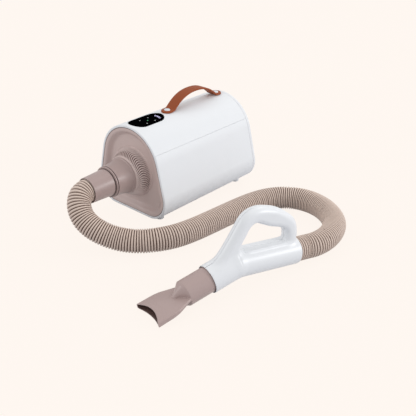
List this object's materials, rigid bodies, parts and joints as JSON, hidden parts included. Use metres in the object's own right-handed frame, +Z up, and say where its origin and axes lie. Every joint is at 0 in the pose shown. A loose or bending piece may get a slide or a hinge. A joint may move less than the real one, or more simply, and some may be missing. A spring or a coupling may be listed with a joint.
{
  "type": "pet dryer",
  "caption": "Portable pet dryer: rounded case with front outlet and leather strap, ribbed hose on a cuff, gripped handset and flat blowing nozzle.",
  "frame": {"origin": "centre of the machine's footprint, on the floor under the rubber feet", "axes": "+X to the machine's right seen from behind (towards the handset), +Y to the machine's rear (the outlet faces -Y), +Z up"},
  "size_m": [0.478, 0.5058, 0.2142],
  "materials": {
    "casing_white": "satin",
    "taupe_panel": "satin",
    "taupe_fins": "satin",
    "hose_plastic": "satin",
    "dark_plastic": "satin",
    "grey_plastic": "matte",
    "panel_glass": "gloss",
    "leather_tan": "satin",
    "rivet_steel": "satin",
    "board_green": "satin",
    "part_mix": "satin",
    "filter_foam": "matte",
    "rubber_black": "matte",
    "pin_brass": "satin",
    "motor_alloy": "satin",
    "stator_copper": "satin",
    "shaft_steel": "satin",
    "duct_nylon": "matte",
    "mica_tan": "matte",
    "heater_wire": "satin"
  },
  "bodies": {
    "machine": {"upper_housing": "casing_white", "lower_housing": "casing_white", "front_panel": "taupe_panel", "vent_ring": "taupe_fins", "outlet_tube": "taupe_panel", "rear_cap": "casing_white", "rear_screws": "shaft_steel", "feet": "casing_white", "foot_pads": "rubber_black", "touch_panel": "panel_glass", "control_board": "board_green", "display_module": "dark_plastic", "strap": "leather_tan", "strap_rivets": "rivet_steel", "strap_washers": "shaft_steel", "inlet_socket": "dark_plastic", "inlet_pins": "pin_brass", "power_board": "board_green", "power_parts": "part_mix", "motor_bulkhead": "grey_plastic", "motor_gasket": "rubber_black", "fan_case": "motor_alloy", "diffuser": "grey_plastic", "motor_frame": "motor_alloy", "motor_stator": "stator_copper", "motor_bearings": "shaft_steel", "air_duct": "duct_nylon", "heater_frame": "mica_tan", "heater_coil": "heater_wire", "thermal_cutout": "shaft_steel", "hose": "hose_plastic", "handset_ferrule": "grey_plastic"},
    "rotor": {"motor_shaft": "shaft_steel", "motor_rotor": "shaft_steel", "impeller": "motor_alloy"},
    "intake_door": {"intake_cover": "taupe_panel", "intake_filter": "filter_foam"},
    "cuff": {"hose_cuff": "taupe_panel", "cuff_seal": "rubber_black", "cuff_ferrule": "grey_plastic"},
    "handset": {"handset_left": "casing_white", "handset_right": "casing_white", "handset_screws": "shaft_steel"},
    "collar": {"nozzle_collar": "grey_plastic"},
    "nozzle": {"nozzle": "taupe_panel", "nozzle_seal": "rubber_black"}
  },
  "joints": [
    {"name": "rotor_spin", "type": "hinge", "parent": "machine", "child": "rotor", "pos_m": [0, 0.02, 0.089], "axis": [0, 1, 0], "continuous": true},
    {"name": "intake_pull", "type": "slide", "parent": "machine", "child": "intake_door", "axis": [0, 1, 0], "range_m": [0, 0.03]},
    {"name": "cuff_turn", "type": "hinge", "parent": "machine", "child": "cuff", "pos_m": [0, -0.2, 0.089], "axis": [0, -1, 0], "range_deg": [0, 35]},
    {"name": "handset_swivel", "type": "hinge", "parent": "machine", "child": "handset", "pos_m": [0.34609, -0.07165, 0.02606], "axis": [0.2315, 0.9643, -0.1288], "continuous": true},
    {"name": "nozzle_turn", "type": "hinge", "parent": "handset", "child": "collar", "pos_m": [0.30344, -0.24931, 0.03136], "axis": [-0.2283, -0.9511, -0.2079], "continuous": true},
    {"name": "nozzle_pull", "type": "slide", "parent": "collar", "child": "nozzle", "axis": [-0.2283, -0.9511, -0.2079], "range_m": [0, 0.022]}
  ]
}
